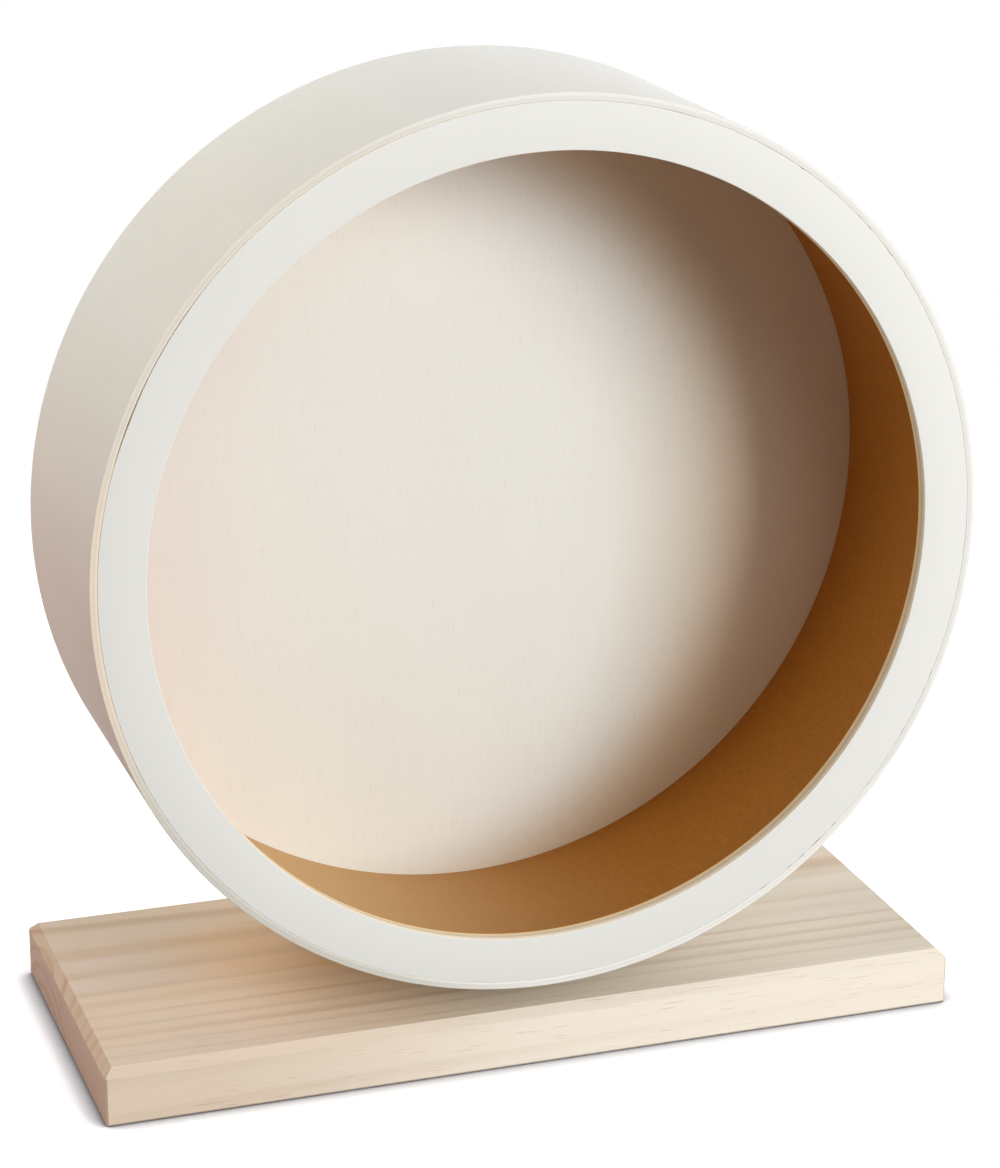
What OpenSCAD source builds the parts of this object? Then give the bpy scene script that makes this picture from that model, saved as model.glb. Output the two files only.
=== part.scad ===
// Free-standing exercise wheel for a small rodent. A plywood drum with a cork running track turns on
// two ball bearings, which sit in one upright post behind it. The post stands on a pine board.
// X runs along the board, Y from the open front to the back, and Z up from the surface it stands on.
// The origin lies on that surface, under the middle of the whole object.

/* [Drum] */
// Outer diameter of the drum
wheel_d = 300; // [260:5:360]
// Depth of the drum from its front edge to its back edge
drum_depth = 91.5; // [80:0.5:120]
// Thickness of the bent plywood rim
rim_t = 2.5; // [2:0.25:3.5]
// Face width of the flat front ring, from the rim to the hole
ring_w = 15.3; // [12:0.1:22]
// Plywood thickness of the front ring
ring_t = 5; // [4:0.5:8]
// Plywood thickness of the back disc
disc_t = 4; // [3:0.5:6]
// Thickness of the cork on the running track
liner_t = 3; // [2:0.25:4]
// Width of the small chamfer that eases the plywood edges
ply_ease = 0.6; // [0.3:0.1:1]

/* [Drum seams] */
// Length of the slanted glue joint where the ends of the rim overlap
scarf_len = 20; // [14:1:26]
// Where the rim's joint lies, counted from +X towards the top
scarf_angle = -35; // [-90:5:90]
// Where the two ends of the cork strip meet, counted the same way
liner_seam_angle = 122; // [-180:1:180]

/* [Hub and axle] */
// Diameter of the round plywood block glued to the back of the disc
hub_d = 72; // [56:1:90]
// Thickness of the hub block
hub_t = 8; // [7:0.5:12]
// Depth of the pocket that holds the head of the axle bolt
head_pocket = 4.5; // [4:0.1:5]
// Thread diameter of the axle bolt
axle_d = 6; // [5:0.25:7]
// Diameter of the domed bolt head
bolt_head_d = 16; // [14:0.5:18]
// Height of the domed bolt head
bolt_head_h = 3.6; // [3:0.1:3.9]
// Thread that stands out past the nut
bolt_tail = 0.9; // [0.5:0.1:2]
// Diameter of the wide washer behind the hub block
washer_d = 18; // [16:0.5:22]
// Thickness of the wide washer
washer_t = 1.6; // [1.2:0.1:2]
// Diameter of the two narrow shims that press only on the inner races
shim_d = 9; // [8.6:0.1:9.2]
// Thickness of each narrow shim
shim_t = 1; // [0.8:0.1:1.5]
// Width of the lock nut across its flats
nut_flats = 10; // [9:0.5:12]
// Height of the whole lock nut
nut_h = 6; // [5.5:0.1:7]
// Height of the round collar that holds the nylon ring
nut_collar_h = 1.9; // [1.5:0.1:2.2]

/* [Ball bearings] */
// Outer diameter of the outer race
race_d = 19; // [18:0.5:22]
// Width of each bearing
race_w = 6; // [5.6:0.1:6.6]
// Diameter of one ball
ball_d = 3.5; // [3.2:0.1:3.7]
// Number of balls in each bearing
ball_count = 7; // [6:1:8]
// Depth of the groove that each ball runs in
groove_depth = 0.4; // [0.3:0.05:0.6]
// Radial thickness of the ball cage
cage_t = 1.2; // [0.8:0.1:1.4]
// Thickness of the cage band beside the balls
cage_band = 0.35; // [0.25:0.05:0.4]
// Thickness of the sheet steel shields
shield_t = 0.3; // [0.2:0.05:0.35]
// How far the shields lie inside the ends of the bearing
shield_inset = 0.2; // [0.1:0.05:0.25]
// Chamfer on the ends of the races
race_ease = 0.3; // [0.1:0.05:0.4]

/* [Upright post] */
// Thickness of the post from front to back
post_t = 16; // [15:0.5:22]
// Width of the post where it stands on the board
post_foot_w = 110; // [95:5:140]
// Radius of the round head of the post
post_head_r = 35; // [28:1:42]
// Chamfer along the edges of the post
post_ease = 1.5; // [0.5:0.25:2.5]

/* [Base board] */
// Length of the board
base_len = 300; // [250:5:380]
// Thickness of the board
base_t = 20; // [18:1:26]
// Chamfer along the top edges of the board
base_chamfer = 3; // [1.5:0.5:4]
// Easing of the upright and lower edges of the board
base_ease = 0.8; // [0.4:0.1:1.5]
// How far the front of the board lies behind the front of the drum
base_setback = 3; // [0:0.5:8]
// Board left behind the post
rear_margin = 9.9; // [8:0.1:25]
// Air between the drum and the board
wheel_gap = 10; // [6:0.5:20]

/* [Fixings of the post] */
// Shank diameter of the two wood screws
screw_d = 4; // [3.5:0.1:5]
// Head diameter of the wood screws
screw_head_d = 8.5; // [7.5:0.1:9.5]
// How deep the screw heads lie under the board's lower face
screw_sink = 0.4; // [0.2:0.1:1]
// Whole length of the wood screws
screw_len = 45; // [40:1:55]
// Depth of the cross recess in a screw head
recess_depth = 1.8; // [1.2:0.1:2]
// Distance from the end of the post's foot to the screw
screw_inset = 20; // [14:1:24]
// Diameter of the two beech dowels
dowel_d = 8; // [6:0.5:9]
// Length of the dowels
dowel_len = 30; // [24:1:34]
// Distance from the end of the post's foot to the dowel
dowel_inset = 38; // [34:1:40]
// Wood left in the board under each dowel
dowel_floor = 6; // [3:0.5:10]

/* [Fits] */
// Gap round the front ring and the back disc inside the rim
rim_gap = 0.2; // [0.1:0.05:0.3]
// Glue line between the cork and the rim
glue_gap = 0.1; // [0.05:0.05:0.2]
// Width of the hairline seams in the rim and the cork
seam_gap = 0.15; // [0.1:0.05:0.3]
// Radial play of the axle in what is threaded on it
axle_fit = 0.02; // [0.01:0.01:0.05]
// Radial play of the outer races in the post
race_fit = 0.02; // [0.01:0.01:0.05]
// Play between the balls and the grooves
ball_play = 0.05; // [0.03:0.01:0.08]
// Play between the balls and the cage
pocket_play = 0.1; // [0.06:0.01:0.14]
// Gap between a shield and the turning inner race
shield_gap = 0.25; // [0.2:0.05:0.4]
// Play of the square neck, the dowels and the screws in the wood
wood_fit = 0.05; // [0.02:0.01:0.1]

/* [Hidden] */
$fn = 96;

// Radii of the drum, from the outside in
wheel_r = wheel_d / 2;
rim_in_r = wheel_r - rim_t;
panel_r = rim_in_r - rim_gap;
hole_r = panel_r - ring_w;
liner_out_r = rim_in_r - glue_gap;
liner_in_r = liner_out_r - liner_t;
track_w = drum_depth - ring_t - disc_t;

// Heights
axle_h = base_t + wheel_gap + wheel_r;
post_rise = axle_h - base_t;

// Places along Y, from the front to the back
base_w = drum_depth - base_setback + hub_t + washer_t + shim_t + post_t + rear_margin;
drum_y = -(base_setback + base_w) / 2;
base_front_y = drum_y + base_setback;
ring_back_y = drum_y + ring_t;
disc_y = drum_y + drum_depth - disc_t;
hub_y = disc_y + disc_t;
neck_y = hub_y + head_pocket;
washer_y = hub_y + hub_t;
front_shim_y = washer_y + washer_t;
post_y = front_shim_y + shim_t;
front_race_y = post_y;
spacer_y = front_race_y + race_w;
rear_race_y = post_y + post_t - race_w;
rear_shim_y = post_y + post_t;
nut_y = rear_shim_y + shim_t;

// The axle, and what is threaded on it
axle_r = axle_d / 2;
bore_r = axle_r + axle_fit;
neck_len = washer_y - neck_y;
spacer_len = rear_race_y - spacer_y;
bolt_len = nut_y + nut_h + bolt_tail - neck_y;
thread_ease = 0.5;
nut_ease = 0.6;
nut_lip = 0.4;
collar_step = 0.4;
collar_wall = 0.8;
collar_r = nut_flats / 2 - collar_step;
insert_r = collar_r - collar_wall;

// The bearings
race_r = race_d / 2;
ball_r = ball_d / 2;
ball_circle_r = (race_r + axle_r) / 2;
groove_r = ball_r + ball_play;
inner_shoulder_r = ball_circle_r - ball_r + groove_depth;
outer_shoulder_r = ball_circle_r + ball_r - groove_depth;
shield_step = 0.35;
shield_seat_r = outer_shoulder_r + shield_step;
shield_seat_w = shield_inset + shield_t;
pocket_r = ball_r + pocket_play;
cage_reach = 1.2;

// The post and its fixings
post_mid_y = post_y + post_t / 2;
post_half_w = post_foot_w / 2;
web_bore_r = outer_shoulder_r + race_fit;
screw_x = post_half_w - screw_inset;
dowel_x = post_half_w - dowel_inset;
screw_r = screw_d / 2;
screw_head_r = screw_head_d / 2;
head_cone_h = screw_head_r - screw_r;
screw_tip = 6;
recess_w = 1;
dowel_sink = base_t - dowel_floor;
dowel_ease = 0.8;
drill_extra = 1;
overcut = 1;

// Turns a shape that is drawn along +Z, so that it runs backwards along the axle from y
module on_axle(y) {
    translate([0, y, axle_h]) rotate([-90, 0, 0]) children();
}

// A turned ring with its four edges eased
module turned_ring(r_in, r_out, t, ease) {
    rotate_extrude() polygon([
        [r_in + ease, 0], [r_out - ease, 0], [r_out, ease], [r_out, t - ease],
        [r_out - ease, t], [r_in + ease, t], [r_in, t - ease], [r_in, ease]
    ]);
}

// A solid disc with both outer edges eased
module turned_disc(r, t, ease) {
    rotate_extrude() polygon([
        [0, 0], [r - ease, 0], [r, ease], [r, t - ease], [r - ease, t], [0, t]
    ]);
}

// The two places that a fixing has, one on each side of the middle of the foot
module both_sides(x) {
    for (side = [-1, 1]) translate([side * x, post_mid_y, 0]) children();
}

// Pine board with bevelled top edges that meet in mitres
module board_blank() {
    half = base_len / 2;
    intersection() {
        translate([0, base_front_y + base_w, 0]) rotate([90, 0, 0]) linear_extrude(base_w) polygon([
            [-half + base_ease, 0], [half - base_ease, 0], [half, base_ease],
            [half, base_t - base_chamfer], [half - base_chamfer, base_t],
            [-half + base_chamfer, base_t], [-half, base_t - base_chamfer], [-half, base_ease]
        ]);
        translate([-half, base_front_y, 0]) rotate([90, 0, 90]) linear_extrude(base_len) polygon([
            [base_ease, 0], [base_w - base_ease, 0], [base_w, base_ease],
            [base_w, base_t - base_chamfer], [base_w - base_chamfer, base_t],
            [base_chamfer, base_t], [0, base_t - base_chamfer], [0, base_ease]
        ]);
        translate([-half, base_front_y, 0]) linear_extrude(base_t) polygon([
            [base_ease, 0], [base_len - base_ease, 0], [base_len, base_ease],
            [base_len, base_w - base_ease], [base_len - base_ease, base_w],
            [base_ease, base_w], [0, base_w - base_ease], [0, base_ease]
        ]);
    }
}

module base_board() {
    color("burlywood") difference() {
        board_blank();
        both_sides(dowel_x) translate([0, 0, base_t - dowel_sink])
            cylinder(r = dowel_d / 2 + wood_fit, h = dowel_sink + overcut);
        both_sides(screw_x) {
            translate([0, 0, -overcut]) cylinder(r = screw_r + wood_fit, h = base_t + 2 * overcut);
            translate([0, 0, -overcut]) cylinder(r = screw_head_r + wood_fit, h = screw_sink + overcut);
            translate([0, 0, screw_sink])
                cylinder(r1 = screw_head_r + wood_fit, r2 = screw_r + wood_fit, h = head_cone_h);
        }
    }
}

// Point where the straight side of the post runs into its round head
tangent_dist = sqrt(post_half_w * post_half_w + post_rise * post_rise);
side_lean = atan2(post_rise, -post_half_w) - asin(post_head_r / tangent_dist);
side_len = sqrt(tangent_dist * tangent_dist - post_head_r * post_head_r);
tangent_x = post_half_w + side_len * cos(side_lean);
tangent_z = side_len * sin(side_lean);

module post_outline() {
    polygon([[-post_half_w, 0], [post_half_w, 0], [tangent_x, tangent_z], [-tangent_x, tangent_z]]);
    translate([0, post_rise]) circle(r = post_head_r);
}

// Section of the bevel cut, with x outwards from the edge and y into the post
module bevel_section() {
    polygon([[-post_ease - overcut, -overcut], [overcut, -overcut], [overcut, post_ease + overcut]]);
}

// Bevel up both sides of one face of the post and round its head
module face_bevel() {
    for (side = [0, 1]) mirror([side, 0, 0]) translate([post_half_w, 0, 0])
        rotate([0, 0, side_lean - 90]) rotate([-90, 0, 0]) translate([0, 0, -post_half_w])
        linear_extrude(post_half_w + side_len) bevel_section();
    translate([0, post_rise, 0]) mirror([0, 0, 1]) rotate([0, 0, side_lean - 90])
        rotate_extrude(angle = 360 - 2 * side_lean) translate([post_head_r, 0]) bevel_section();
}

module post_blank() {
    difference() {
        linear_extrude(post_t) post_outline();
        translate([0, 0, post_t / 2]) for (face = [0, 1]) mirror([0, 0, face])
            translate([0, 0, post_t / 2]) face_bevel();
    }
}

module upright_post() {
    color("wheat") difference() {
        translate([0, post_y + post_t, base_t]) rotate([90, 0, 0]) post_blank();
        on_axle(post_y - overcut) cylinder(r = web_bore_r, h = post_t + 2 * overcut);
        on_axle(post_y - overcut) cylinder(r = race_r + race_fit, h = race_w + overcut);
        on_axle(rear_race_y) cylinder(r = race_r + race_fit, h = race_w + overcut);
        both_sides(dowel_x) translate([0, 0, base_t - overcut])
            cylinder(r = dowel_d / 2 + wood_fit, h = dowel_len - dowel_sink + drill_extra + overcut);
        both_sides(screw_x) translate([0, 0, base_t - overcut])
            cylinder(r = screw_r + wood_fit, h = screw_sink + screw_len - base_t + drill_extra + overcut);
    }
}

// Fluted beech dowels that locate the post on the board
module post_dowels() {
    color("tan") both_sides(dowel_x) translate([0, 0, base_t - dowel_sink])
        turned_disc(dowel_d / 2, dowel_len, dowel_ease);
}

// Countersunk wood screws, driven up through the board into the post
module post_screws() {
    color("silver") both_sides(screw_x) translate([0, 0, screw_sink]) difference() {
        rotate_extrude() polygon([
            [0, 0], [screw_head_r, 0], [screw_r, head_cone_h], [screw_r, screw_len - screw_tip], [0, screw_len]
        ]);
        for (turn = [0, 90]) rotate([0, 0, turn])
            translate([-screw_head_r / 2, -recess_w / 2, -overcut])
            cube([screw_head_r, recess_w, recess_depth + overcut]);
    }
}

// Outer race with its ball groove and a seat for a shield at each end
module outer_race() {
    rotate_extrude() difference() {
        polygon([
            [shield_seat_r, 0], [race_r - race_ease, 0], [race_r, race_ease],
            [race_r, race_w - race_ease], [race_r - race_ease, race_w], [shield_seat_r, race_w],
            [shield_seat_r, race_w - shield_seat_w], [outer_shoulder_r, race_w - shield_seat_w],
            [outer_shoulder_r, shield_seat_w], [shield_seat_r, shield_seat_w]
        ]);
        translate([ball_circle_r, race_w / 2]) circle(r = groove_r);
    }
}

// Inner race, which turns with the axle
module inner_race() {
    rotate_extrude() difference() {
        polygon([
            [bore_r + race_ease, 0], [inner_shoulder_r - race_ease, 0], [inner_shoulder_r, race_ease],
            [inner_shoulder_r, race_w - race_ease], [inner_shoulder_r - race_ease, race_w],
            [bore_r + race_ease, race_w], [bore_r, race_w - race_ease], [bore_r, race_ease]
        ]);
        translate([ball_circle_r, race_w / 2]) circle(r = groove_r);
    }
}

// Pair of sheet steel shields that close a bearing, seated in the outer race
module shields() {
    shield_in_r = inner_shoulder_r + shield_gap;
    for (z = [shield_inset, race_w - shield_inset - shield_t]) translate([0, 0, z])
        rotate_extrude() translate([shield_in_r, 0]) square([shield_seat_r - shield_in_r, shield_t]);
}

module ball_ring() {
    for (i = [0 : ball_count - 1]) rotate([0, 0, i * 360 / ball_count])
        translate([ball_circle_r, 0, race_w / 2]) sphere(r = ball_r);
}

// Crown cage: a band on one side of the balls, with open pockets that the balls snap into
module crown_cage() {
    difference() {
        translate([0, 0, race_w / 2 - cage_reach]) rotate_extrude()
            translate([ball_circle_r - cage_t / 2, 0])
            square([cage_t, cage_reach + pocket_r + cage_band]);
        for (i = [0 : ball_count - 1]) rotate([0, 0, i * 360 / ball_count])
            translate([ball_circle_r, 0, race_w / 2]) sphere(r = pocket_r);
    }
}

module front_outer_race() { color("lightsteelblue") on_axle(front_race_y) outer_race(); }
module rear_outer_race() { color("lightsteelblue") on_axle(rear_race_y) outer_race(); }
module front_shields() { color("gainsboro") on_axle(front_race_y) shields(); }
module rear_shields() { color("gainsboro") on_axle(rear_race_y) shields(); }
module front_inner_race() { color("slategray") on_axle(front_race_y) inner_race(); }
module rear_inner_race() { color("slategray") on_axle(rear_race_y) inner_race(); }
module front_balls() { color("white") on_axle(front_race_y) ball_ring(); }
module rear_balls() { color("white") on_axle(rear_race_y) ball_ring(); }
module front_cage() { color("khaki") on_axle(front_race_y) crown_cage(); }
module rear_cage() { color("khaki") on_axle(rear_race_y) crown_cage(); }

// Thin plywood strip bent round into a hoop. Its ends are planed to a long slant and glued.
module drum_rim() {
    slant = atan(rim_t / scarf_len);
    color("cornsilk") on_axle(drum_y) difference() {
        turned_ring(rim_in_r, wheel_r, drum_depth, ply_ease);
        rotate([0, 0, -scarf_angle]) translate([wheel_r - rim_t / 2, 0, 0]) rotate([0, 0, slant])
            translate([-seam_gap / 2, -scarf_len, -overcut])
            cube([seam_gap, 2 * scarf_len, drum_depth + 2 * overcut]);
    }
}

module front_ring() {
    color("ivory") on_axle(drum_y) turned_ring(hole_r, panel_r, ring_t, ply_ease);
}

// Cork strip that lines the running track, with a butt joint
module track_liner() {
    color("peru") on_axle(ring_back_y) difference() {
        rotate_extrude() translate([liner_in_r, 0]) square([liner_t, track_w]);
        rotate([0, 0, -liner_seam_angle]) translate([liner_in_r - overcut, -seam_gap / 2, -overcut])
            cube([liner_t + 2 * overcut, seam_gap, track_w + 2 * overcut]);
    }
}

module back_disc() {
    color("linen") on_axle(disc_y) turned_disc(panel_r, disc_t, ply_ease);
}

// Plywood block glued to the disc, with the bolt head shut in between the two
module hub_block() {
    neck_w = axle_d + 2 * wood_fit;
    color("bisque") on_axle(hub_y) difference() {
        turned_disc(hub_d / 2, hub_t, ply_ease);
        translate([0, 0, -overcut]) cylinder(r = bolt_head_d / 2 + wood_fit, h = head_pocket + overcut);
        translate([-neck_w / 2, -neck_w / 2, 0]) cube([neck_w, neck_w, hub_t + overcut]);
    }
}

// Coach bolt: a domed head, a square neck that bites into the hub block, and a thread
module axle_bolt() {
    dome_r = (pow(bolt_head_d / 2, 2) + pow(bolt_head_h, 2)) / (2 * bolt_head_h);
    color("silver") on_axle(neck_y) {
        intersection() {
            translate([0, 0, dome_r - bolt_head_h]) sphere(r = dome_r);
            translate([0, 0, -bolt_head_h]) cylinder(r = bolt_head_d / 2, h = bolt_head_h);
        }
        translate([-axle_r, -axle_r, 0]) cube([axle_d, axle_d, neck_len]);
        rotate_extrude() polygon([
            [0, 0], [axle_r, 0], [axle_r, bolt_len - thread_ease], [axle_r - thread_ease, bolt_len], [0, bolt_len]
        ]);
    }
}

module plain_washer(r_out, t) {
    difference() {
        cylinder(r = r_out, h = t);
        translate([0, 0, -overcut]) cylinder(r = bore_r, h = t + 2 * overcut);
    }
}

module hub_washer() { color("gainsboro") on_axle(washer_y) plain_washer(washer_d / 2, washer_t); }
module front_shim() { color("gainsboro") on_axle(front_shim_y) plain_washer(shim_d / 2, shim_t); }
module race_spacer() { color("gainsboro") on_axle(spacer_y) plain_washer(shim_d / 2, spacer_len); }
module rear_shim() { color("gainsboro") on_axle(rear_shim_y) plain_washer(shim_d / 2, shim_t); }

// Lock nut: a chamfered hexagon with a round collar rolled over a nylon ring
module lock_nut() {
    corner_r = nut_flats / 2 / cos(30);
    hex_h = nut_h - nut_collar_h;
    color("silver") on_axle(nut_y) difference() {
        union() {
            intersection() {
                cylinder(r = corner_r, h = hex_h, $fn = 6);
                rotate_extrude() polygon([
                    [0, 0], [corner_r - nut_ease, 0], [corner_r, nut_ease], [corner_r, hex_h - nut_ease],
                    [corner_r - nut_ease, hex_h], [0, hex_h]
                ]);
            }
            rotate_extrude() polygon([
                [0, hex_h], [collar_r, hex_h], [collar_r, nut_h - nut_ease], [collar_r - nut_ease, nut_h], [0, nut_h]
            ]);
        }
        translate([0, 0, -overcut]) cylinder(r = bore_r, h = nut_h + 2 * overcut);
        translate([0, 0, hex_h]) cylinder(r = insert_r, h = nut_collar_h - nut_lip);
        translate([0, 0, hex_h]) cylinder(r = bore_r + nut_ease, h = nut_h);
    }
}

// Nylon ring under the lip of the lock nut, which grips the thread
module nut_insert() {
    color("white") on_axle(nut_y + nut_h - nut_collar_h) difference() {
        cylinder(r = insert_r, h = nut_collar_h - nut_lip);
        translate([0, 0, -overcut]) cylinder(r = bore_r, h = nut_h);
    }
}

base_board();
upright_post();
post_dowels();
post_screws();
front_outer_race();
front_shields();
rear_outer_race();
rear_shields();
drum_rim();
front_ring();
track_liner();
back_disc();
hub_block();
axle_bolt();
hub_washer();
front_shim();
front_inner_race();
race_spacer();
rear_inner_race();
rear_shim();
lock_nut();
nut_insert();
front_balls();
front_cage();
rear_balls();
rear_cage();
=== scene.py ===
import math

import bmesh
import bpy
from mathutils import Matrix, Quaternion, Vector, noise


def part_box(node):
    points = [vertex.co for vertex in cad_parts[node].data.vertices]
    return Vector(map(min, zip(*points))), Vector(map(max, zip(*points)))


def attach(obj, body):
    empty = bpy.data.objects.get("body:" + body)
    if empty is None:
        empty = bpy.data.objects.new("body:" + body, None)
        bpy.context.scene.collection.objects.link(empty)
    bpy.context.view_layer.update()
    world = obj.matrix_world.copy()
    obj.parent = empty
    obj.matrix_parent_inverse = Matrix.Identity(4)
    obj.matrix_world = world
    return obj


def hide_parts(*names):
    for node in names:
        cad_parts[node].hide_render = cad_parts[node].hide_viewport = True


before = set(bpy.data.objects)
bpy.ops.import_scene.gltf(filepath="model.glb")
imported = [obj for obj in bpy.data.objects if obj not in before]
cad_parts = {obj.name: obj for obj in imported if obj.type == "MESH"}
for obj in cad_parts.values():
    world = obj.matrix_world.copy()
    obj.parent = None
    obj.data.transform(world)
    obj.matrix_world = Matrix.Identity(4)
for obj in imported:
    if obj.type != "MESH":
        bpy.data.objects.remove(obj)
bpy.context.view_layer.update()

# Base board. A thick pine board whose four top edges are planed to a bevel, with mitres at the corners,
# and then sanded. Its mesh is the CAD solid with each sharp edge rounded off. The grain runs along X, and
# the heart of the tree lay below the board, towards its back.


class Number:
    """A number or a vector that changes over a surface. Sums and products on it add Math nodes."""

    def __init__(self, graph, socket):
        self.graph = graph
        self.socket = socket

    def math(self, operation, first, second=0.0):
        return self.graph.node("ShaderNodeMath", {"operation": operation}, {0: first, 1: second})

    def __add__(self, other):
        return self.math("ADD", self, other)

    def __sub__(self, other):
        return self.math("SUBTRACT", self, other)

    def __rsub__(self, other):
        return self.math("SUBTRACT", other, self)

    def __mul__(self, other):
        return self.math("MULTIPLY", self, other)

    def __truediv__(self, other):
        return self.math("DIVIDE", self, other)

    def __mod__(self, other):
        return self.math("FLOORED_MODULO", self, other)

    def __abs__(self):
        return self.math("ABSOLUTE", self)

    __radd__ = __add__
    __rmul__ = __mul__

    def rise(self, low, high):
        """Goes smoothly from 0 to 1 as the number goes from low to high."""
        limits = {"Value": self, "From Min": low, "From Max": high}
        return self.graph.node("ShaderNodeMapRange", {"interpolation_type": "SMOOTHSTEP"}, limits)

    def part(self, axis):
        """The X, Y or Z of a vector."""
        return self.graph.node("ShaderNodeSeparateXYZ", {}, {"Vector": self}, axis)


class Graph:
    """A node tree, in which every node is added by one method."""

    def __init__(self, tree):
        self.tree = tree
        tree.nodes.clear()

    def node(self, kind, settings, inputs, output=0):
        """Adds a node with these settings, sets or links its inputs, and gives one of its outputs."""
        made = self.tree.nodes.new(kind)
        for name, setting in settings.items():
            setattr(made, name, setting)
        for key, value in inputs.items():
            if isinstance(value, Number):
                self.tree.links.new(value.socket, made.inputs[key])
            else:
                made.inputs[key].default_value = value
        return Number(self, made.outputs[output]) if made.outputs else None

    def vector(self, operation, first, second=(0.0, 0.0, 0.0), output="Vector"):
        """Adds a Vector Math node."""
        values = {0: first, 1: second}
        return self.node("ShaderNodeVectorMath", {"operation": operation}, values, output)


class Finish(Graph):
    """A material for one kind of surface."""

    def __init__(self, name):
        self.material = bpy.data.materials.new(name)
        self.material.use_nodes = True
        super().__init__(self.material.node_tree)

    def spot(self, turn=(0.0, 0.0, 0.0), shift=(0.0, 0.0, 0.0)):
        """A point of the piece in millimetres, turned and then shifted."""
        place = self.node("ShaderNodeTexCoord", {}, {}, "Object")
        lie = {"Vector": place, "Scale": (1000, 1000, 1000), "Rotation": turn, "Location": shift}
        return self.node("ShaderNodeMapping", {}, lie)

    def facing(self, axis):
        """How squarely the surface faces along an axis, from 0 to 1."""
        normal = self.node("ShaderNodeTexCoord", {}, {}, "Normal")
        return abs(self.vector("DOT_PRODUCT", normal, axis, "Value"))

    def noise(self, spot, stretch, detail=2.0, fineness=0.5):
        """Soft random shading, so many times to the millimetre along X, Y and Z."""
        stretched = self.vector("MULTIPLY", spot, stretch)
        grid = {"Vector": stretched, "Scale": 1.0, "Detail": detail, "Roughness": fineness}
        return self.node("ShaderNodeTexNoise", {}, grid, "Fac")

    def mix(self, share, first, second):
        """Share of the second colour over the first."""
        return self.node("ShaderNodeMix", {"data_type": "RGBA"}, {0: share, 6: first, 7: second}, 2)

    def brighten(self, color, factor):
        """The colour made this many times as bright."""
        start = color if isinstance(color, Number) else color[:3]
        return self.node("ShaderNodeVectorMath", {"operation": "SCALE"}, {0: start, "Scale": factor})

    def finish(self, color, roughness, relief, height, gloss=0.3, metal=0.0):
        """Ends the material. The relief, from 0 to 1, stands this high in metres."""
        bump = self.node("ShaderNodeBump", {}, {"Height": relief, "Distance": height})
        sockets = {"Base Color": color, "Roughness": roughness, "Normal": bump}
        sockets |= {"Specular IOR Level": gloss, "Metallic": metal}
        shader = self.node("ShaderNodeBsdfPrincipled", {}, sockets)
        self.node("ShaderNodeOutputMaterial", {}, {"Surface": shader})
        return self.material


def shade(red, green, blue):
    """A colour as a screen shows it, 0 to 255, as the linear one that a shader takes."""
    return (*(((part / 255 + 0.055) / 1.055) ** 2.4 for part in (red, green, blue)), 1.0)


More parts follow.
